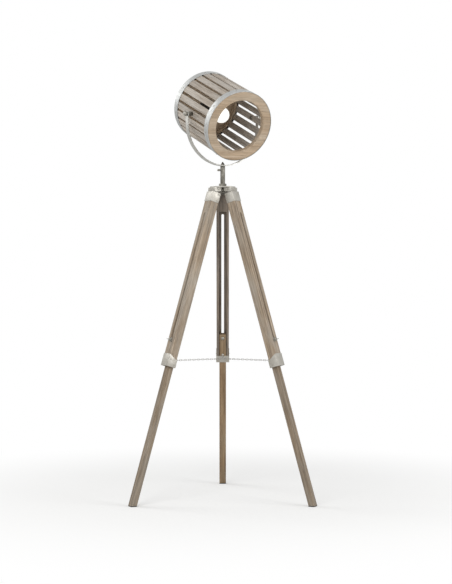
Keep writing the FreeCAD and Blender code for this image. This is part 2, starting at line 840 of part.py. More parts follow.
def shade_slats():
    """Eased flat slats round the two spigots, each pair beside a gap; two carry the pivots."""
    half, ease = float(d.slat_width) / 2, float(d.slat_ease)
    low, high = float(slat_inside), float(slat_outside)
    corners = eased_outline(low, -half, high, half, ease)
    points = [Vector(x, y, float(slat_back)) for x, y in corners]
    section = Part.Face(Part.makePolygon(points + points[:1]))
    slat = section.extrude(Vector(0, 0, float(slat_front - slat_back)))
    hole = Part.makeCylinder(float(d.pivot_bolt_radius + d.running_fit), high + PAST,
                             Vector(0, 0, 0), X_AXIS)
    slats = []
    for i in range(SLATS):
        one = slat.cut(hole) if i in (0, SLATS // 2) else slat.copy()
        one.Placement = moved(0, 0, 0, Z_AXIS, 360 / SLATS * i)
        slats.append(one)
    group("shade_slats", head_frame, slats)


def bands():
    """Metal bands round the shade's front and back ends, and the screws through them."""
    inner = d.shade_radius + 0.05
    outer = inner + d.band_sheet
    places = {"front_band": (front - d.ring_edge, -1), "rear_band": (back + 2, 1)}
    screws = []
    for name, (edge, way) in places.items():
        low, high = (edge - d.band_width, edge) if way < 0 else (edge, edge + d.band_width)
        turned(name, head_frame, [(inner, low), (outer, low), (outer, high), (inner, high)])
        middle = float(low + high) / 2
        for i in range(BAND_SCREWS):
            angle = math.radians(360 / SLATS * (SLATS / BAND_SCREWS * i + 1))
            out = Vector(math.cos(angle), math.sin(angle), 0)
            base = out * float(outer) + Vector(0, 0, middle)
            rise, radius = float(d.screw_height), float(d.screw_radius)
            screws.append(Part.makeCone(radius * 1.2, radius * 0.7, rise, base, out))
    group("band_screws", head_frame, screws)


def lamp():
    """Holder on the board, screw cap, frosted bulb, and the gland behind the board."""
    seat = slat_back
    centre = -d.bulb_set_back
    cap_top = centre - d.bulb_neck_length
    cap_low = cap_top - d.bulb_cap_length
    fit = d.bulb_cap_radius + 0.3
    mouth = cap_top - 4
    holder = [
        (0, seat), (d.holder_radius + d.holder_flange, seat),
        (d.holder_radius + d.holder_flange, seat + 4),
        (d.holder_radius, seat + 6), (d.holder_radius, mouth - 3),
        (d.holder_radius - 2, mouth), (fit, mouth), (fit, cap_low - 0.3), (0, cap_low - 0.3),
    ]
    turned("lamp_holder", head_frame, holder)
    c = d.bulb_cap_radius
    cap = [
        (0, cap_low), (c * 0.45, cap_low), (c * 0.9, cap_low + 3), (c, cap_low + 5),
        (c, cap_top), (0, cap_top),
    ]
    turned("bulb_cap", head_frame, cap)
    board = [
        (0, seat), (d.gland_thread, seat), (d.gland_thread, back), (d.gland_radius, back),
        (d.gland_radius, back - d.gland_length * 0.35),
        (d.gland_radius * 0.62, back - d.gland_length * 0.5),
        (d.gland_radius * 0.55, back - d.gland_length), (0, back - d.gland_length),
    ]
    turned("cable_gland", head_frame, board)
    # the bulb's neck is a hollow arc that runs into the ball
    radius, neck = float(d.bulb_radius), c.value - 0.4
    middle, low = float(centre), float(cap_top)
    meet = math.radians(-38)
    join = Vector(radius * math.cos(meet), 0, middle + radius * math.sin(meet))
    tip, side = Vector(0, 0, middle + radius), Vector(radius, 0, middle)
    bend = Vector((neck + join.x) / 2 - 2.2, 0, (low + join.z) / 2)
    outline = Part.Wire([
        Part.Arc(tip, Vector(radius * math.sqrt(0.5), 0, middle + radius * math.sqrt(0.5)),
                 side).toShape(),
        Part.Arc(side, Vector(radius * math.cos(meet / 2), 0,
                              middle + radius * math.sin(meet / 2)), join).toShape(),
        Part.Arc(join, bend, Vector(neck, 0, low)).toShape(),
        Part.LineSegment(Vector(neck, 0, low), Vector(0, 0, low)).toShape(),
        Part.LineSegment(Vector(0, 0, low), tip).toShape(),
    ])
    bulb = Part.Face(outline).revolve(Vector(0, 0, 0), Z_AXIS, 360)
    group("light_bulb", head_frame, [bulb])


# ---------------------------------------------------------------- assembly

for leg, turn in LEGS.items():
    frame = leg_frame(turn)
    leg_cap(f"leg_cap_{leg}", frame)
    side_screws(f"cap_screws_{leg}", frame, d.leg_width / 2 + d.cap_sheet,
                [(d.screw_inner, d.cap_start + d.cap_screw_inset),
                 (d.screw_inner, d.cap_end - d.cap_screw_inset)])
    upper_leg(f"upper_leg_{leg}", frame)
    collar(f"collar_{leg}", frame)
    side_screws(f"collar_screws_{leg}", frame, d.leg_width / 2 + d.collar_sheet,
                [(d.screw_outer, collar_start + d.collar_screw_high),
                 (d.screw_inner, d.leg_end - d.collar_screw_low)])
    lower_leg(f"lower_leg_{leg}", frame)
    foot_pad(f"foot_pad_{leg}", frame)
    slide_bolt(f"slide_bolt_{leg}", frame)
    wing_nut(f"wing_nut_{leg}", frame)
    chain_eye(f"chain_eye_{leg}", frame)
    chain(f"chain_{leg}", turn)
middle_ring()
hub()
hinge_bolts()
pole()
pole_nuts()
thumbscrew()
yoke_stem()
finial_nut()
yoke()
pivots()
front_ring()
rear_board()
shade_slats()
bands()
lamp()

doc.recompute()
os.makedirs("parts", exist_ok=True)
for label, piece in pieces.items():
    shape = piece.Shape
    if shape.isNull() or not shape.isValid() or {"Invalid", "Error"} & set(piece.State):
        raise RuntimeError(f"{label} failed: {piece.State}")
    shape.exportStep(f"parts/{label}.step")
print(len(pieces), "pieces")
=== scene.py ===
import json
import math

import bmesh
import bpy
from mathutils import Matrix, Vector

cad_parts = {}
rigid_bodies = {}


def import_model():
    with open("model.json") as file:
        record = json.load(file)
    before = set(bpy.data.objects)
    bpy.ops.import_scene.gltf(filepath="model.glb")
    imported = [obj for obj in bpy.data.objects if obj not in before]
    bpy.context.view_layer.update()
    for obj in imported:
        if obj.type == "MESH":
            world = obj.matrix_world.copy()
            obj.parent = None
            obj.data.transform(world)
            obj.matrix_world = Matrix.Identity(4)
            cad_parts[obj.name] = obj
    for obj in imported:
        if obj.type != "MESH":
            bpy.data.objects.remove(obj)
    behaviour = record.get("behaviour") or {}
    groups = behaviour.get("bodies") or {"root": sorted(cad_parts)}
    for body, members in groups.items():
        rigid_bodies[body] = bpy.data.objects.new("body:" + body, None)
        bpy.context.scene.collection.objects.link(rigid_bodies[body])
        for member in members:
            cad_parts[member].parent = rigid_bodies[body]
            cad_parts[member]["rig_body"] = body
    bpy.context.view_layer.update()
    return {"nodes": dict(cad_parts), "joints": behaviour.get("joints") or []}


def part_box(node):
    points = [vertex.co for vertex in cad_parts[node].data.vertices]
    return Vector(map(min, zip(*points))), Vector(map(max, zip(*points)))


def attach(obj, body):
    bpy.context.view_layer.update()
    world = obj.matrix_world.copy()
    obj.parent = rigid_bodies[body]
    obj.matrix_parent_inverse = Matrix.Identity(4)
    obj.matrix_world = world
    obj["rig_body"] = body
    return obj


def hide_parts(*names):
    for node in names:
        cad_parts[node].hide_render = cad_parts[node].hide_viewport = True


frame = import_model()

MM = 0.001
LEGS = ("rear", "left", "right")


# ------------------------------------------------------------------ upper legs
# Three grooved and slotted rails of weathered, grey-washed fir. Each is a sawn plank with eased
# edges; the groove opens on its inner side and a long slot runs through to the outer face.


def joint(name):
    """The frame's joint of this name."""
    return next(j for j in frame["joints"] if j["name"] == name)


def leg_place(leg):
    """The leg's own frame: origin on its hinge, X along the hinge pin, Z up along the leg."""
    fold, slide = joint(f"leg_fold_{leg}"), joint(f"leg_slide_{leg}")
    x, z = Vector(fold["axis"]), Vector(slide["axis"])
    y = z.cross(x)
    place = Matrix((x, y, z)).transposed().to_4x4()
    place.translation = fold["pos_m"]
    return place


def linear(code, alpha=1.0):
    """An sRGB hex value as the linear colour that shaders take."""
    parts = [int(code[i:i + 2], 16) / 255 for i in (1, 3, 5)]
    return [p / 12.92 if p <= 0.04045 else ((p + 0.055) / 1.055) ** 2.4 for p in parts] + [alpha]


def add(tree, kind, inputs=None, stops=None, **settings):
    """Adds one shader node with its settings; an input is a value or another node's socket."""
    node = tree.nodes.new(kind)
    for name, value in settings.items():
        setattr(node, name, value)
    if stops:
        ramp = node.color_ramp.elements
        while len(ramp) < len(stops):
            ramp.new(0.5)
        for element, (position, colour) in zip(ramp, stops):
            element.position = position
            element.color = linear(colour)
    for socket, value in (inputs or {}).items():
        if isinstance(value, bpy.types.NodeSocket):
            tree.links.new(value, node.inputs[socket])
        else:
            node.inputs[socket].default_value = value
    return node


def new_material(name):
    """An empty material: its node tree and its surface shader."""
    material = bpy.data.materials.new(name)
    material.use_nodes = True
    tree = material.node_tree
    return material, tree, tree.nodes["Principled BSDF"]


def weathered_wood(name, place, tones, slats=0, seed=0.0):
    """Grey-washed fir whose grain runs along place's Z.

    Open grain gives long darker streaks about 6 mm apart, fine fibres near 1 mm, short dark
    checks, and a patchy pale wash over them. With slats, each board round Z gets its own tone.
    """
    material, tree, shader = new_material(name)
    location, rotation, _ = place.inverted().decompose()
    coordinates = add(tree, "ShaderNodeTexCoord")
    local = add(tree, "ShaderNodeMapping", {
        "Vector": coordinates.outputs["Object"],
        "Location": location, "Rotation": rotation.to_euler(),
    }).outputs["Vector"]
    tone = None
    if slats:
        parts = add(tree, "ShaderNodeSeparateXYZ", {0: local})
        angle = add(tree, "ShaderNodeMath", {0: parts.outputs["Y"], 1: parts.outputs["X"]},
                    operation="ARCTAN2")
        turns = add(tree, "ShaderNodeMath", {0: angle.outputs[0], 1: slats / math.tau},
                    operation="MULTIPLY")
        whole = add(tree, "ShaderNodeMath", {0: turns.outputs[0]}, operation="ROUND")
        index = add(tree, "ShaderNodeMath", {0: whole.outputs[0], 1: float(slats)},
                    operation="FLOORED_MODULO")
        tone = add(tree, "ShaderNodeTexWhiteNoise", {"W": index.outputs[0]},
                   noise_dimensions="1D")
        local = add(tree, "ShaderNodeVectorMath", {
            0: tone.outputs["Color"], 1: (3.0, 3.0, 3.0), 2: local,
        }, operation="MULTIPLY_ADD").outputs[0]
    shifted = add(tree, "ShaderNodeVectorMath", {0: local, 1: (seed, seed * 0.7, seed * 1.3)},
                  operation="ADD").outputs[0]

    def grain(stretch, scale, detail, distortion=0.0):
        """Noise with a cell of 1 / scale metres across the grain, drawn out along it."""
        drawn = add(tree, "ShaderNodeMapping", {
            "Vector": shifted, "Scale": (1.0, 1.0, stretch),
        })
        noise = add(tree, "ShaderNodeTexNoise", {
            "Vector": drawn.outputs["Vector"], "Scale": scale, "Detail": detail,
            "Roughness": 0.6, "Distortion": distortion,
        })
        return noise.outputs["Fac"]

    rings = grain(0.035, 170.0, 4.0, 0.5)
    fibres = grain(0.02, 900.0, 3.0)
    checks = grain(0.045, 520.0, 1.0)
    patches = grain(0.22, 26.0, 3.0, 0.3)
    colour = add(tree, "ShaderNodeValToRGB", {"Fac": rings}, stops=[
        (0.30, tones[0]), (0.47, tones[1]), (0.60, tones[2]), (0.74, tones[3]),
    ]).outputs["Color"]
    wash = add(tree, "ShaderNodeMapRange", {
        "Value": patches, "From Min": 0.42, "From Max": 0.66, "To Min": 0.0, "To Max": 0.62,
    })
    colour = add(tree, "ShaderNodeMix", {
        0: wash.outputs[0], 6: colour, 7: linear(tones[4]),
    }, data_type="RGBA").outputs[2]
    streak = add(tree, "ShaderNodeMapRange", {
        "Value": fibres, "From Min": 0.32, "From Max": 0.68, "To Min": 0.74, "To Max": 1.12,
    }).outputs[0]
    dark = add(tree, "ShaderNodeMapRange", {
        "Value": checks, "From Min": 0.26, "From Max": 0.38, "To Min": 0.58, "To Max": 1.0,
    }).outputs[0]
    shade = add(tree, "ShaderNodeMath", {0: streak, 1: dark}, operation="MULTIPLY").outputs[0]
    if tone:
        board = add(tree, "ShaderNodeMapRange", {
            "Value": tone.outputs["Value"], "To Min": 0.80, "To Max": 1.10,
        }).outputs[0]
        shade = add(tree, "ShaderNodeMath", {0: shade, 1: board},
                    operation="MULTIPLY").outputs[0]
    shader_colour = add(tree, "ShaderNodeMix", {
        0: 1.0, 6: colour, 7: shade,
    }, data_type="RGBA", blend_type="MULTIPLY").outputs[2]
    tree.links.new(shader_colour, shader.inputs["Base Color"])
    rough = add(tree, "ShaderNodeMapRange", {
        "Value": fibres, "To Min": 0.66, "To Max": 0.9,
    }).outputs[0]
    tree.links.new(rough, shader.inputs["Roughness"])
    shader.inputs["Specular IOR Level"].default_value = 0.3
    relief = add(tree, "ShaderNodeMath", {0: fibres, 1: dark}, operation="MULTIPLY").outputs[0]
    bump = add(tree, "ShaderNodeBump", {
        "Height": relief, "Strength": 0.55, "Distance": 0.5 * MM,
    })
    tree.links.new(bump.outputs["Normal"], shader.inputs["Normal"])
    return material


def finish_mesh(piece, material, sharp=35.0):
    """Smooth faces, sharp edges where they turn by more than sharp degrees, one material."""
    piece.data.shade_smooth()
    piece.data.set_sharp_from_angle(angle=math.radians(sharp))
    piece.data.materials.clear()
    piece.data.materials.append(material)


def body_name(node):
    """The body that the node moves with."""
    return frame["nodes"][node]["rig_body"]


CORNER_ANGLE = 38.0
FLAT_ANGLE = 0.6


def eased(node, material, ease, segments=2):
    """A piece with the CAD node's own shape and its sharp edges rounded by ease mm."""
    mesh = frame["nodes"][node].data.copy()
    piece = bpy.data.objects.new(f"{node}_finished", mesh)
    bpy.context.scene.collection.objects.link(piece)
    shape = bmesh.new()
    shape.from_mesh(mesh)
    bmesh.ops.remove_doubles(shape, verts=shape.verts, dist=1e-6)
    bmesh.ops.dissolve_limit(shape, angle_limit=math.radians(FLAT_ANGLE), verts=shape.verts,
                             edges=shape.edges)
    corners = [e for e in shape.edges if e.is_manifold
               and e.calc_face_angle(0.0) > math.radians(CORNER_ANGLE)]
    bmesh.ops.bevel(shape, geom=corners, offset=ease * MM, offset_type="OFFSET",
                    segments=segments, profile=0.5, affect="EDGES", clamp_overlap=True)
    bmesh.ops.triangulate(shape, faces=[f for f in shape.faces if len(f.verts) > 4])
    shape.to_mesh(mesh)
    shape.free()
    finish_mesh(piece, material)
    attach(piece, body_name(node))
    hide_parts(node)
    return piece


LEG_TONES = ("#6f6254", "#94836f", "#ab9a86", "#b9ac9b", "#a9a196")
# The rear leg shows its shaded inner side, so it takes darker tones: painted shade, since its
# wood is the same as the others.
PAINTED_SHADE_TONES = ("#574d45", "#796c60", "#8e8174", "#9c9085", "#8f8880")
for order, leg in enumerate(LEGS):
    tones = PAINTED_SHADE_TONES if leg == "rear" else LEG_TONES
    timber = weathered_wood(f"grey_washed_fir_upper_{leg}", leg_place(leg), tones,
                            seed=1.7 * order)
    eased(f"upper_leg_{leg}", timber, 0.5)


# ------------------------------------------------------------------ lower legs
# Narrower rails of the same fir, sliding in the grooves; the rear one takes darker, browner
# tones, which are painted shade. Their feet are cut level with the floor.

LOWER_TONES = ("#61564a", "#82725f", "#978774", "#a69b8d", "#989085")
# Darker, browner tones for the rear lower leg: painted shade, as the rear leg stands in shade.
BROWN_PAINTED_SHADE_TONES = ("#5f4e3b", "#7d664c", "#90785c", "#9e886d", "#92836c")
for order, leg in enumerate(LEGS):
    tones = BROWN_PAINTED_SHADE_TONES if leg == "rear" else LOWER_TONES
    timber = weathered_wood(f"grey_washed_fir_lower_{leg}", leg_place(leg), tones,
                            seed=9.1 + 2.3 * order)
    eased(f"lower_leg_{leg}", timber, 0.8)


# ------------------------------------------------------------------ leg caps and collars
# Folded steel sheet, satin nickel plated: a cap over each leg's top and a collar round its
# lower end, both held by small round-headed screws. Plating gives a soft, cloudy shine.


def plated_metal(name, colour, dull, roughness, cloud, brushed=0.0):
    """Plated steel: clouds of duller plate, fine scratches and a slightly uneven skin."""
    material, tree, shader = new_material(name)
    coordinates = add(tree, "ShaderNodeTexCoord").outputs["Object"]
    clouds = add(tree, "ShaderNodeTexNoise", {
        "Vector": coordinates, "Scale": cloud, "Detail": 5.0, "Roughness": 0.65,
    }).outputs["Fac"]
    spread = add(tree, "ShaderNodeMapRange", {
        "Value": clouds, "From Min": 0.36, "From Max": 0.66,
    }).outputs[0]
    tint = add(tree, "ShaderNodeMix", {
        0: spread, 6: linear(colour), 7: linear(dull),
    }, data_type="RGBA").outputs[2]
    tree.links.new(tint, shader.inputs["Base Color"])
    scratches = add(tree, "ShaderNodeTexNoise", {
        "Vector": add(tree, "ShaderNodeMapping", {
            "Vector": coordinates, "Scale": (1.0, 1.0, 0.06 if brushed else 1.0),
        }).outputs["Vector"],
        "Scale": 1500.0, "Detail": 2.0,
    }).outputs["Fac"]
    worn = add(tree, "ShaderNodeMapRange", {
        "Value": clouds, "From Min": 0.3, "From Max": 0.7,
        "To Min": roughness - 0.07, "To Max": roughness + 0.1,
    }).outputs[0]
    tree.links.new(worn, shader.inputs["Roughness"])
    shader.inputs["Metallic"].default_value = 1.0
    bump = add(tree, "ShaderNodeBump", {
        "Height": scratches, "Strength": 0.12 + brushed, "Distance": 0.05 * MM,
    })
    tree.links.new(bump.outputs["Normal"], shader.inputs["Normal"])
    return material


satin_nickel = plated_metal("satin_nickel_plate", "#b6b3ac", "#aaa69d", 0.52, 60.0)
for leg in LEGS:
    eased(f"leg_cap_{leg}", satin_nickel, 0.5)
    eased(f"collar_{leg}", satin_nickel, 0.45)
    for kind in ("cap_screws", "collar_screws"):
        eased(f"{kind}_{leg}", satin_nickel, 0.15, 1)


# ------------------------------------------------------------------ slide bolts and wing nuts
# A nickelled round-head bolt goes through each lower leg and the slot; a cast wing nut on the
# outer face clamps the two rails together.

cast_nickel = plated_metal("cast_nickel", "#a8a59d", "#88847b", 0.45, 220.0)
for leg in LEGS:
    eased(f"slide_bolt_{leg}", cast_nickel, 0.3)
    eased(f"wing_nut_{leg}", cast_nickel, 0.5, 3)


# ------------------------------------------------------------------ foot pads
# Thin black rubber pads glued under the level-cut feet.

rubber, rubber_tree, rubber_shader = new_material("black_moulded_rubber")
rubber_grain = add(rubber_tree, "ShaderNodeTexNoise", {
    "Vector": add(rubber_tree, "ShaderNodeTexCoord").outputs["Object"],
    "Scale": 900.0, "Detail": 3.0,
}).outputs["Fac"]
rubber_tint = add(rubber_tree, "ShaderNodeValToRGB", {"Fac": rubber_grain}, stops=[
    (0.3, "#1c1b1a"), (0.7, "#34322f"),
]).outputs["Color"]
rubber_tree.links.new(rubber_tint, rubber_shader.inputs["Base Color"])
rubber_shader.inputs["Roughness"].default_value = 0.8
rubber_bump = add(rubber_tree, "ShaderNodeBump", {
    "Height": rubber_grain, "Strength": 0.3, "Distance": 0.1 * MM,
})
rubber_tree.links.new(rubber_bump.outputs["Normal"], rubber_shader.inputs["Normal"])
for leg in LEGS:
    eased(f"foot_pad_{leg}", rubber, 0.5)


# ------------------------------------------------------------------ chains
# Fine chains of nickelled round wire links run taut from an eye on each collar to a small ring
# on the lamp's axis. Every other link stands on edge.

WIRE = 0.62 * MM
LINK_COUNT = 20
LINK_WIDTH = 3.9 * MM
LINK_OVERLAP = 1.4 * MM
EYE_TO_LINK = 2.45 * MM
RING_TO_LINK = 0.15 * MM


def wire_loop(path, radius, sides=8):
    """Vertices and faces of a closed loop of round wire along path (points in a flat loop)."""
    count = len(path)
    normal = (path[1] - path[0]).cross(path[count // 3] - path[0]).normalized()
    verts, faces = [], []
    for i, point in enumerate(path):
        along = (path[(i + 1) % count] - path[i - 1]).normalized()
        side = along.cross(normal)
        for k in range(sides):
            turn = math.tau * k / sides
            verts.append(point + radius * (math.cos(turn) * side + math.sin(turn) * normal))
    for i in range(count):
        for k in range(sides):
            after, beside = (i + 1) % count, (k + 1) % sides
            faces.append((i * sides + k, after * sides + k,
                          after * sides + beside, i * sides + beside))
    return verts, faces


def link_path(length, width, place):
    """Middle line of one link: two half rounds joined by straight sides."""
    radius = width / 2
    reach = length / 2 - radius
    path = []
    for end in (1, -1):
        for i in range(9):
            turn = math.pi * (i / 8 - 0.5)
            corner = Vector((reach + radius * math.cos(turn), radius * math.sin(turn), 0.0))
            path.append(place @ (corner * end))
    return path


def mesh_piece(name, verts, faces, material, body, nodes, sharp=35.0):
    """A new mesh that rides on body and stands for nodes."""
    mesh = bpy.data.meshes.new(name)
    mesh.from_pydata([tuple(v) for v in verts], [], faces)
    mesh.validate()
    piece = bpy.data.objects.new(name, mesh)
    bpy.context.scene.collection.objects.link(piece)
    finish_mesh(piece, material, sharp)
    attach(piece, body)
    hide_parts(*nodes)
    return piece


chain_nickel = plated_metal("nickelled_wire", "#a9a7a2", "#8f8c86", 0.4, 700.0)
ring_middle = sum(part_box("chain_ring"), Vector()) / 2
RING_RADIUS, RING_WIRE, RING_STEPS = 6.0 * MM, 0.9 * MM, 40
for leg in LEGS:
    eye = Vector(joint(f"chain_swing_{leg}")["pos_m"])
    inwards = (ring_middle - eye).normalized()
    across = Vector((0, 0, 1)).cross(inwards)
    flat = Matrix((inwards, across, Vector((0, 0, 1)))).transposed().to_4x4()
    reach = (ring_middle - eye).length
    last = reach - RING_RADIUS + RING_WIRE + RING_TO_LINK
    pitch = (last - EYE_TO_LINK - LINK_OVERLAP) / LINK_COUNT
    inner_length = pitch + LINK_OVERLAP
    verts, faces = [], []
    for i in range(LINK_COUNT):
        middle = eye + inwards * (EYE_TO_LINK + inner_length / 2 + i * pitch)
        place = Matrix.Translation(middle) @ flat
        place = place @ Matrix.Rotation(math.radians(90 * (i % 2)), 4, "X")
        loop, quads = wire_loop(link_path(inner_length + 2 * WIRE, LINK_WIDTH, place), WIRE)
        faces += [tuple(v + len(verts) for v in quad) for quad in quads]
        verts += loop
    mesh_piece(f"chain_links_{leg}", verts, faces, chain_nickel, f"chain_{leg}",
               [f"chain_{leg}"], sharp=80.0)
    eased(f"chain_eye_{leg}", satin_nickel, 0.1, 1)

ring_path = []
for i in range(RING_STEPS):
    round_ring = math.tau * i / RING_STEPS
    ring_path.append(ring_middle + RING_RADIUS * Vector((math.cos(round_ring),
                                                         math.sin(round_ring), 0.0)))
ring_verts, ring_faces = wire_loop(ring_path, RING_WIRE)
mesh_piece("middle_ring_wire", ring_verts, ring_faces, chain_nickel, "chain_rear",
           ["chain_ring"], sharp=80.0)


# ------------------------------------------------------------------ hub
# Cast hub, nickel plated: a round plate over three houses in which the legs hinge, with
# round-headed hinge bolts and cap nuts.

for node, ease in (("hub", 0.5), ("hinge_bolts", 0.3), ("hinge_nuts", 0.3)):
    eased(node, satin_nickel, ease, 3)


# ------------------------------------------------------------------ pole
# A short darkened steel tube, a flanged hexagon nut on the plate and a plain one under it, and
# a ribbed thumbscrew that clamps the stem.

dark_nickel = plated_metal("darkened_nickel_tube", "#807d76", "#65625a", 0.4, 90.0, 0.05)
for node, ease in (("pole_tube", 0.3), ("flange_nut", 0.7), ("lock_nut", 0.7)):
    eased(node, dark_nickel, ease)
eased("thumbscrew", cast_nickel, 0.25)


# ------------------------------------------------------------------ yoke
# Flat steel bar, rolled to a half round with two straight arms and satin nickel plated; its
# stem turns in the pole and a conical nut holds it from above.

bar_nickel = plated_metal("drawn_bar_nickel", "#c2c1bd", "#b3b1aa", 0.46, 60.0)
eased("yoke", bar_nickel, 0.7)
eased("yoke_stem", dark_nickel, 0.3)
eased("finial_nut", dark_nickel, 0.4)


# ------------------------------------------------------------------ pivots
# On each side a bolt through a slat, a turned spacer and a round knob outside the arm.

for side in ("left", "right"):
    eased(f"pivot_bolt_{side}", cast_nickel, 0.4)
    eased(f"pivot_spacer_{side}", dark_nickel, 0.4)
    eased(f"pivot_knob_{side}", cast_nickel, 0.5, 3)


# ------------------------------------------------------------------ front ring and rear board
# Turned from glued-up fir and washed like the slats. The ring's face has rounded edges, the
# board closes the back, and both have a rim that the slats are fixed to.


def middle_of(node):
    """Mean of the node's points, which for a band is its middle."""
    points = [v.co for v in frame["nodes"][node].data.vertices]
    return sum(points, Vector()) / len(points)


def head_place():
    """The shade's own frame: origin between the pivots, X along them, Z out of its mouth."""
    tilt = joint("head_tilt")
    x = Vector(tilt["axis"])
    z = (middle_of("front_band") - middle_of("rear_band")).normalized()
    place = Matrix((x, z.cross(x), z)).transposed().to_4x4()
    place.translation = tilt["pos_m"]
    return place


TURNED_TONES = ("#93806b", "#a48f77", "#b19c84", "#bdab96", "#b0a391")
SLAT_TONES = ("#877c71", "#aa9f92", "#beb4a8", "#cbc3b8", "#c0bab2")
shade_place = head_place()
across_shade = shade_place @ Matrix.Rotation(math.radians(90), 4, "Y")
turned_fir = weathered_wood("grey_washed_fir_turned", across_shade, TURNED_TONES, seed=21.0)


def turned_extent(node):
    """Inner and outer radius, low and high end (mm) of a piece turned about the shade's axis."""
    points = [shade_place.inverted() @ v.co / MM for v in frame["nodes"][node].data.vertices]
    radii = [math.hypot(p.x, p.y) for p in points]
    return min(radii), max(radii), min(p.z for p in points), max(p.z for p in points)


def lathe(name, profile, material, nodes, steps=128, sharp=35.0):
    """A piece turned about the shade's axis: profile corners are (radius, height) in mm."""
    verts, faces, rows = [], [], []
    for radius, height in profile:
        if radius == 0:
            rows.append([len(verts)] * steps)
            verts.append(shade_place @ Vector((0.0, 0.0, height * MM)))
            continue
        rows.append(list(range(len(verts), len(verts) + steps)))
        for k in range(steps):
            turn = math.tau * k / steps
            verts.append(shade_place @ Vector((radius * math.cos(turn) * MM,
                                               radius * math.sin(turn) * MM, height * MM)))
    closed = profile[0][0] > 0 and profile[-1][0] > 0
    for i in range(len(rows) - (0 if closed else 1)):
        low, high = rows[i], rows[(i + 1) % len(rows)]
        for k in range(steps):
            beside = (k + 1) % steps
            quad = (low[k], low[beside], high[beside], high[k])
            faces.append(tuple(dict.fromkeys(quad)))
    return mesh_piece(name, verts, faces, material, body_name(nodes[0]), nodes, sharp)


def rounded(corners, segments=5):
    """Outline whose corners (radius, height, fillet) are rounded by arcs."""
    outline = []
    count = len(corners)
    for i, (radius, height, fillet) in enumerate(corners):
        here = Vector((radius, height))
        if fillet == 0:
            outline.append((radius, height))
            continue
        before = (Vector(corners[i - 1][:2]) - here).normalized()
        after = (Vector(corners[(i + 1) % count][:2]) - here).normalized()
        half = before.angle(after) / 2
        back = fillet / math.tan(half)
        middle = here + (before + after).normalized() * fillet / math.sin(half)
        start, end = here + before * back - middle, here + after * back - middle
        for k in range(segments + 1):
            outline.append(tuple(middle + start.slerp(end, k / segments).normalized() * fillet))
    return outline


opening, shade_radius, ring_low, ring_high = turned_extent("front_ring")
gland_hole, _, board_low, board_high = turned_extent("rear_board")
_, _, slat_low, slat_high = turned_extent("shade_slats")
slat_points = [shade_place.inverted() @ v.co / MM
               for v in frame["nodes"]["shade_slats"].data.vertices]
# the inner face of the slat over X, which seats on the rims
rim = min(p.x for p in slat_points if p.x > abs(p.y) * 8)
RIM_WALL, STEP = 8.0, 4.2
bore = rim - RIM_WALL
lathe("front_ring_turned", rounded([
    (opening, slat_high - STEP, 0), (opening, ring_high, 4.5), (shade_radius, ring_high, 3.6),
    (shade_radius, slat_high, 0), (rim, slat_high, 0),
    (rim, ring_low, 0.8), (bore, ring_low, 0.8), (bore, slat_high - STEP, 0.8),
]), turned_fir, ["front_ring"])
lathe("rear_board_turned", rounded([
    (gland_hole, board_low, 0), (shade_radius, board_low, 2.5), (shade_radius, slat_low, 0),
    (rim, slat_low, 0), (rim, board_high, 0.8), (bore, board_high, 0.8), (bore, slat_low, 0.8),
    (gland_hole, slat_low, 0),
]), turned_fir, ["rear_board"])


# ------------------------------------------------------------------ slats
# Twenty-four flat fir slats with eased edges, each its own tone of grey-brown, fixed round the
# ring's and the board's rims with gaps of about 9 mm between them.

SLAT_COUNT = 24
slat_fir = weathered_wood("grey_washed_fir_slats", shade_place, SLAT_TONES, slats=SLAT_COUNT,
                          seed=4.0)
eased("shade_slats", slat_fir, 0.35)


# ------------------------------------------------------------------ bands
# Rolled zinc-plated strip, one round each end of the shade, held by small screws. The front one
# stands round the ring's face, so that its edge shows as a thin rim.

RIM_BACK = 0.3
zinc = plated_metal("zinc_plated_strip", "#bdbebd", "#aeafad", 0.55, 35.0)
for node in ("front_band", "rear_band"):
    inside, outside, low, high = turned_extent(node)
    if node == "front_band":
        high = ring_high - RIM_BACK
    lathe(f"{node}_strip", rounded([
        (inside, low, 0), (outside, low, 0.5), (outside, high, 0.5), (inside, high, 0),
    ], 3), zinc, [node])
eased("band_screws", cast_nickel, 0.15, 1)


# ------------------------------------------------------------------ lamp holder and bulb
# Black phenolic holder on the board, a frosted ball-ended bulb with a brass screw cap, and the
# gland that the mains lead would leave by.

phenolic, phenolic_tree, phenolic_shader = new_material("black_phenolic")
phenolic_speck = add(phenolic_tree, "ShaderNodeTexNoise", {
    "Vector": add(phenolic_tree, "ShaderNodeTexCoord").outputs["Object"],
    "Scale": 600.0, "Detail": 3.0,
}).outputs["Fac"]
phenolic_tint = add(phenolic_tree, "ShaderNodeValToRGB", {"Fac": phenolic_speck}, stops=[
    (0.35, "#161514"), (0.7, "#24211f"),
]).outputs["Color"]
phenolic_tree.links.new(phenolic_tint, phenolic_shader.inputs["Base Color"])
phenolic_gloss = add(phenolic_tree, "ShaderNodeMapRange", {
    "Value": phenolic_speck, "To Min": 0.3, "To Max": 0.5,
}).outputs[0]
phenolic_tree.links.new(phenolic_gloss, phenolic_shader.inputs["Roughness"])
eased("lamp_holder", phenolic, 0.6)
eased("cable_gland", phenolic, 0.4)
cap_brass = plated_metal("lamp_cap_brass", "#c8a869", "#a98b52", 0.25, 300.0)
eased("bulb_cap", cap_brass, 0.3)

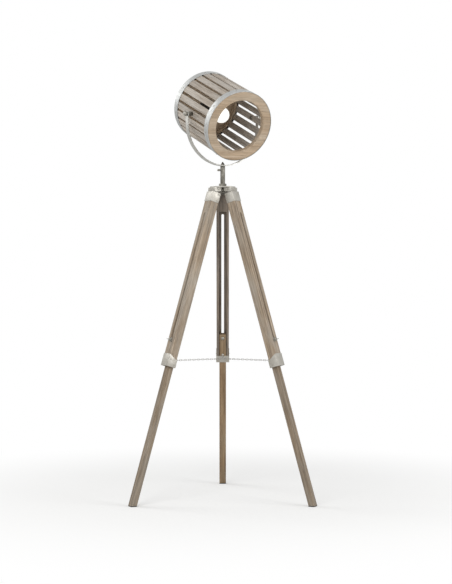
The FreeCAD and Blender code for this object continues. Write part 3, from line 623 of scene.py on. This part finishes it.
frosted, frosted_tree, frosted_shader = new_material("frosted_glass_bulb")
frost = add(frosted_tree, "ShaderNodeTexNoise", {
    "Vector": add(frosted_tree, "ShaderNodeTexCoord").outputs["Object"],
    "Scale": 900.0, "Detail": 2.0,
}).outputs["Fac"]
frost_gloss = add(frosted_tree, "ShaderNodeMapRange", {
    "Value": frost, "To Min": 0.3, "To Max": 0.42,
}).outputs[0]
frosted_tree.links.new(frost_gloss, frosted_shader.inputs["Roughness"])
frosted_shader.inputs["Base Color"].default_value = linear("#fdfdfb")
frosted_shader.inputs["Emission Color"].default_value = linear("#fffdf8")
frosted_shader.inputs["Emission Strength"].default_value = 0.75
frosted_shader.inputs["Coat Weight"].default_value = 0.3
frosted_shader.inputs["Coat Roughness"].default_value = 0.2


BALL_END, BALL_STEPS = -38.0, 24
NECK_STEPS, NECK_HOLLOW, CAP_WALL = 8, 1.6, 0.4


def bulb_outline():
    """Ball end, then a hollow curve down to the neck."""
    _, radius, low, high = turned_extent("light_bulb")
    neck = turned_extent("bulb_cap")[1] - CAP_WALL
    middle, top, end = high - radius, math.radians(90), math.radians(BALL_END)
    outline = [(0, high)]
    for i in range(1, BALL_STEPS + 1):
        turn = top + (end - top) * i / BALL_STEPS
        outline.append((radius * math.cos(turn), middle + radius * math.sin(turn)))
    wide, join = outline[-1]
    for i in range(1, NECK_STEPS + 1):
        part = i / NECK_STEPS
        swell = math.sin(math.pi * part) * NECK_HOLLOW
        outline.append((wide + (neck - wide) * part - swell * (1 - part),
                        join + (low - join) * part))
    return outline + [(0, low)]


lathe("light_bulb_glass", bulb_outline(), frosted, ["light_bulb"], steps=64)


# ------------------------------------------------------------------ studio
# Plain pale floor, large soft lamps and a white surround. The floor keeps the shadow round the
# feet and fades to white beyond it. The surround lights the wood less than it shows in metal.

FLOOR_HALF = 12.0
SHADOW_REACH, WHITE_FROM = 0.45, 1.5
studio_floor = bpy.data.meshes.new("floor")
studio_floor.from_pydata(
    [(-FLOOR_HALF, -FLOOR_HALF, 0), (FLOOR_HALF, -FLOOR_HALF, 0),
     (FLOOR_HALF, FLOOR_HALF, 0), (-FLOOR_HALF, FLOOR_HALF, 0)], [], [(0, 1, 2, 3)])
floor = bpy.data.objects.new("floor", studio_floor)
bpy.context.scene.collection.objects.link(floor)
paper = bpy.data.materials.new("white_paper_floor")
paper.use_nodes = True
paper_tree = paper.node_tree
paper_tree.nodes.clear()
paper_matt = add(paper_tree, "ShaderNodeBsdfDiffuse", {"Color": linear("#f4f4f3")})
paper_glow = add(paper_tree, "ShaderNodeEmission", {"Color": linear("#ffffff"), "Strength": 1.0})
paper_rays = add(paper_tree, "ShaderNodeLightPath")
paper_spot = add(paper_tree, "ShaderNodeVectorMath", {
    0: add(paper_tree, "ShaderNodeTexCoord").outputs["Object"],
}, operation="LENGTH")
paper_fade = add(paper_tree, "ShaderNodeMapRange", {
    "Value": paper_spot.outputs["Value"], "From Min": SHADOW_REACH, "From Max": WHITE_FROM,
    "To Min": 0.2, "To Max": 1.0,
}, interpolation_type="SMOOTHSTEP")
paper_share = add(paper_tree, "ShaderNodeMath", {
    0: paper_rays.outputs["Is Camera Ray"], 1: paper_fade.outputs[0],
}, operation="MULTIPLY")
paper_mix = add(paper_tree, "ShaderNodeMixShader", {
    0: paper_share.outputs[0], 1: paper_matt.outputs[0], 2: paper_glow.outputs[0],
})
add(paper_tree, "ShaderNodeOutputMaterial", {"Surface": paper_mix.outputs[0]})
studio_floor.materials.append(paper)

LIGHT_SHARE, MIRROR_SHARE = 0.58, 0.75
surround = bpy.data.worlds.new("studio_surround")
bpy.context.scene.world = surround
surround.use_nodes = True
surround_tree = surround.node_tree
surround_tree.nodes.clear()
rays = add(surround_tree, "ShaderNodeLightPath")
seen = add(surround_tree, "ShaderNodeMath", {
    0: rays.outputs["Is Camera Ray"], 1: rays.outputs["Is Transmission Ray"],
}, operation="MAXIMUM")
dimmed = add(surround_tree, "ShaderNodeMath", {
    0: rays.outputs["Is Glossy Ray"], 1: MIRROR_SHARE,
}, operation="MULTIPLY")
mirrored = add(surround_tree, "ShaderNodeMath", {
    0: seen.outputs[0], 1: dimmed.outputs[0],
}, operation="MAXIMUM")
level = add(surround_tree, "ShaderNodeMapRange", {
    "Value": mirrored.outputs[0], "To Min": LIGHT_SHARE, "To Max": 1.0,
})
sky = add(surround_tree, "ShaderNodeBackground", {
    "Color": linear("#ffffff"), "Strength": level.outputs[0],
})
add(surround_tree, "ShaderNodeOutputWorld", {"Surface": sky.outputs[0]})


def soft_lamp(name, place, target, size, power):
    data = bpy.data.lights.new(name, "AREA")
    data.shape = "SQUARE"
    data.size = size
    data.energy = power
    data.specular_factor = 0.4
    lamp = bpy.data.objects.new(name, data)
    lamp.location = place
    lamp.rotation_euler = (Vector(target) - Vector(place)).to_track_quat("-Z", "Y").to_euler()
    bpy.context.scene.collection.objects.link(lamp)


MIDDLE = (0.0, 0.0, 0.8)
soft_lamp("key", (-3.0, 1.3, 3.0), MIDDLE, 2.0, 38.0)
soft_lamp("front", (-1.6, -3.6, 2.6), MIDDLE, 2.2, 60.0)
soft_lamp("fill", (3.2, -2.0, 1.8), MIDDLE, 2.2, 60.0)


# ------------------------------------------------------------------ camera
# At the photograph's angle: as high as the legs' middle and about five metres away. The lamp's
# axis stands at AXIS_COLUMN and the horizon at HORIZON_ROW of the picture.

PICTURE_WIDTH, PICTURE_HEIGHT = 452, 584
SENSOR = 36.0
FOCAL_PIXELS = 1415.0
CAMERA_DISTANCE, CAMERA_HEIGHT = 4.9, 0.78
AXIS_COLUMN, HORIZON_ROW = 222.7, 273.4

lamp_axis = Vector(joint("head_pan")["pos_m"])
camera_data = bpy.data.cameras.new("camera")
camera_data.sensor_width = SENSOR
camera_data.lens = FOCAL_PIXELS / PICTURE_HEIGHT * SENSOR
camera = bpy.data.objects.new("camera", camera_data)
bpy.context.scene.collection.objects.link(camera)
camera.location = (lamp_axis.x, lamp_axis.y - CAMERA_DISTANCE, CAMERA_HEIGHT)
pan = math.atan((AXIS_COLUMN - PICTURE_WIDTH / 2) / FOCAL_PIXELS)
pitch = math.atan((PICTURE_HEIGHT / 2 - HORIZON_ROW) / FOCAL_PIXELS)
camera.rotation_euler = (math.radians(90) - pitch, 0.0, pan)
bpy.context.scene.camera = camera
bpy.context.scene.view_settings.view_transform = "Standard"
